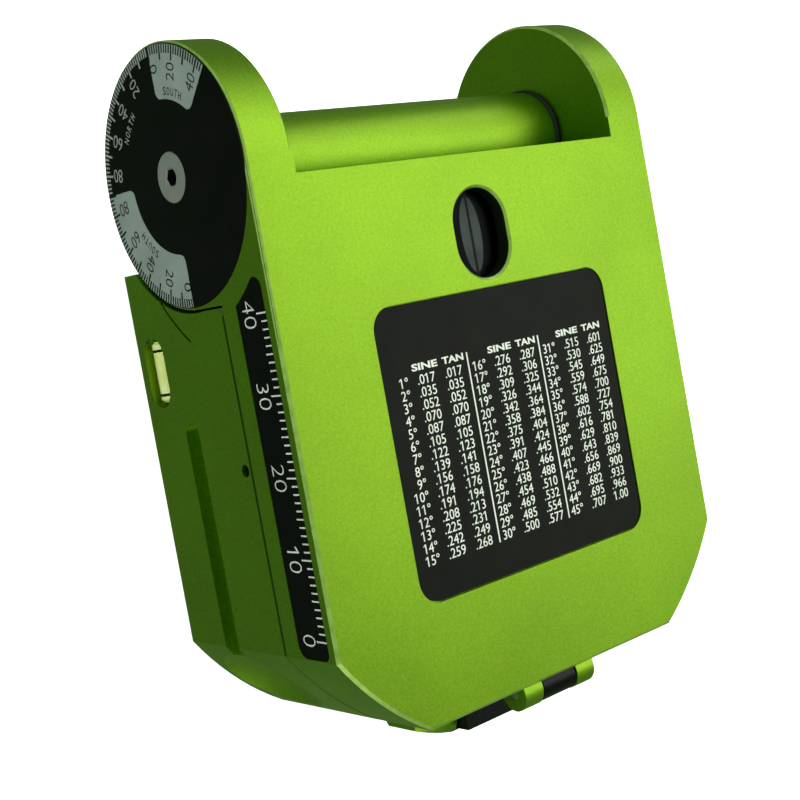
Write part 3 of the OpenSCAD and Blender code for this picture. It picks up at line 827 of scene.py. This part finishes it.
def vial_rings():
    """Two thin black rings round the side vial."""
    width, radius, thick, turns = 0.36, 1.93, 0.06, 48
    profile = ((-1, radius - thick), (-1, radius), (1, radius), (1, radius - thick))
    points, faces = [], []
    for y in (16.86, 10.94):
        start = len(points)
        for k in range(turns):
            for side, r in profile:
                x, z = at(r, 2 * math.pi * k / turns, VIAL)
                points.append((x, y + side * width / 2, z))
        for k in range(turns):
            here, following = start + 4 * k, start + 4 * ((k + 1) % turns)
            for j in range(4):
                m = (j + 1) % 4
                faces.append((here + j, here + m, following + m, following + j))
    add_marks("vial_rings", "case", ink_black, np.array(points), faces)


lid_table()
side_scale()
dial_marks()
circle_marks()
bowl_marks()
needle_paint()
level_ring()
mirror_marks()
vial_rings()


# Stage, lights and camera


def arc(y, z, radius, start, end, count=13):
    """Points of an arc in the plane of Y and Z, its angles in degrees from +Y."""
    return [at(radius, math.radians(a), (y, z)) for a in np.linspace(start, end, count)]


def stage_floor():
    """A pale table with the hinge past its edge, so that the opened lid can hang below."""
    top, low, edge, reach = -0.0002, -0.056, 0.028, 3.0
    round_top, round_low = 0.003, 0.012
    profile = (
        [(-reach, top)]
        + arc(edge - round_top, top - round_top, round_top, 90, 0)
        + arc(edge + round_low, low + round_low, round_low, 180, 270)
        + [(reach, low)]
    )
    n = len(profile)
    floor = add_mesh(
        "floor",
        [(x, y, z) for x in (-reach, reach) for y, z in profile],
        [(k, n + k, n + k + 1, k + 1) for k in range(n - 1)],
    )
    dress(floor, pale("paper", 0.9, 0.84, (1.2, 3.0, 0.6), 0.80, 0.86))
    floor.visible_diffuse = False
    floor.visible_glossy = False


def stage_dome():
    """A pale room round the floor, for views from low down. Only the camera sees it."""
    radius, steps, rows = 2.8, 48, 12
    lowest, rise = -6, 95.9  # elevation of the first row and up to the last, in degrees
    points, faces = [], []
    for row in range(rows + 1):
        lift = math.radians(lowest + rise * row / rows)
        for step in range(steps):
            x, y = at(radius * math.cos(lift), 2 * math.pi * step / steps)
            points.append((x, y, radius * math.sin(lift)))
    for row in range(rows):
        for step in range(steps):
            here, after = steps * row + step, steps * row + (step + 1) % steps
            faces.append((here, after, after + steps, here + steps))
    faces.append(tuple(range(steps * rows, steps * (rows + 1))))
    dome = add_mesh("dome", points, faces)
    dress(dome, pale("wall", 0.95, 1.0, (300.0, 2.0, 0.5), 0.06, 0.09))
    dome.visible_diffuse = False
    dome.visible_glossy = False
    dome.visible_shadow = False
    dome.visible_transmission = False


def studio_world():
    """Soft greenish light from all round, a little stronger from above."""
    world = bpy.data.worlds.new("studio")
    bpy.context.scene.world = world
    world.use_nodes = True
    tree = world.node_tree
    backdrop = tree.nodes["Background"]
    backdrop.inputs["Color"].default_value = rgba(0.66, 1.0, 0.52)
    sky = tree.nodes.new("ShaderNodeTexCoord")
    split = tree.nodes.new("ShaderNodeSeparateXYZ")
    rise = tree.nodes.new("ShaderNodeMapRange")
    limits = {"From Min": -0.8, "From Max": 0.9, "To Min": 0.16, "To Max": 0.26}
    for key, value in limits.items():
        rise.inputs[key].default_value = value
    tree.links.new(sky.outputs["Generated"], split.inputs["Vector"])
    tree.links.new(split.outputs["Z"], rise.inputs["Value"])
    tree.links.new(rise.outputs[0], backdrop.inputs["Strength"])


def area(name, place, size, power, colour=(1, 1, 1), aim=(0, 0, 0.02), glint=True):
    """A soft light. Without glint it leaves no reflection on metal."""
    lamp = bpy.data.lights.new(name, "AREA")
    lamp.shape = "RECTANGLE"
    lamp.size, lamp.size_y = size
    lamp.energy = power
    lamp.color = colour
    holder = bpy.data.objects.new(name, lamp)
    holder.location = place
    holder.rotation_euler = (Vector(aim) - Vector(place)).to_track_quat("-Z", "Y").to_euler()
    holder.visible_glossy = glint
    bpy.context.scene.collection.objects.link(holder)


def photo_camera():
    """The camera that was solved from the photo. Its place is in millimetres."""
    holder = bpy.data.objects.new("camera", bpy.data.cameras.new("camera"))
    bpy.context.scene.collection.objects.link(holder)
    holder.data.sensor_width = 36.0
    holder.data.lens = 64.31
    holder.data.shift_y = -0.0875
    holder.data.clip_start = 0.01
    right = Vector((0.75952, -0.17825, 0.62559))
    up = Vector((0.16202, 0.98325, 0.08345))
    back = Vector((-0.62999, 0.03797, 0.77568))
    turn = Matrix((right, up, back)).transposed().to_4x4()
    holder.matrix_world = Matrix.Translation(Vector((-129.3, 21.1, 172.3)) * MM) @ turn
    bpy.context.scene.camera = holder


stage_floor()
stage_dome()
studio_world()
area("key", (0.35, 0.16, 0.50), (0.74, 0.28), 1.55, colour=(1.0, 0.99, 0.94))
area("rear", (0.40, 0.42, 0.20), (0.22, 0.22), 0.24)
area("front", (-0.26, -0.50, 0.07), (0.24, 0.12), 0.26, aim=(0, -0.03, 0.01))
area("left_fill", (-0.55, 0.10, 0.10), (0.45, 0.30), 2.2, glint=False)
area("top_fill", (0.10, 0.10, 0.60), (1.0, 1.0), 3.1, glint=False)
photo_camera()
bpy.context.scene.view_settings.view_transform = "Standard"
